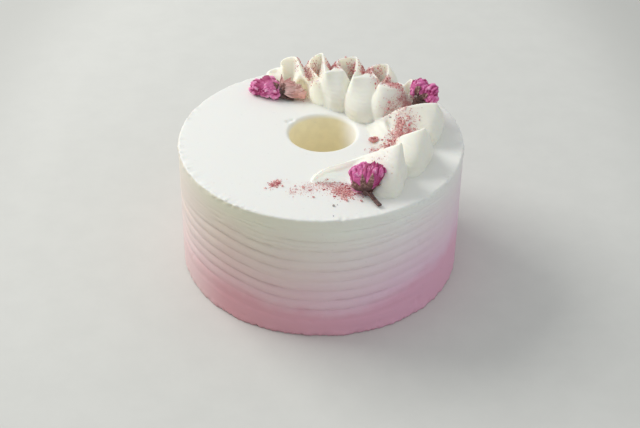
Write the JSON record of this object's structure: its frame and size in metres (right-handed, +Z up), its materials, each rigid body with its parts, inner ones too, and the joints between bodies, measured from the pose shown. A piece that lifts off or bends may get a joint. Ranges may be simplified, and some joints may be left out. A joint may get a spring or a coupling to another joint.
{
  "type": "chiffon cake",
  "caption": "Tall ring cake under combed cream that fades from white to pink, with a ruffle of piped cream and salted cherry blossoms on top.",
  "frame": {"origin": "the cake's axis at its base, bottom centre of the bounding box", "axes": "+Z up; the ruffle's open side faces -X, and the front blossom lies towards -Y"},
  "size_m": [0.165, 0.165, 0.1063],
  "materials": {
    "cream_coat": "matt whipped cream, ivory white at the top, fading to pink at the base",
    "piped_cream": "smooth, slightly translucent whipped cream",
    "blossom_pink": "crumpled moist petals, with brown-green sepals and a dark red stem",
    "blossom_faded": "crumpled petals faded to salmon and beige",
    "crumbs": "dry berry crumbs and powder"
  },
  "bodies": {
    "root": {"cake_body": "cream_coat", "piped_cream": "piped_cream", "blossom_front": "blossom_pink", "blossom_left": "blossom_pink", "blossom_faded": "blossom_faded", "blossom_right": "blossom_pink"}
  },
  "joints": []
}
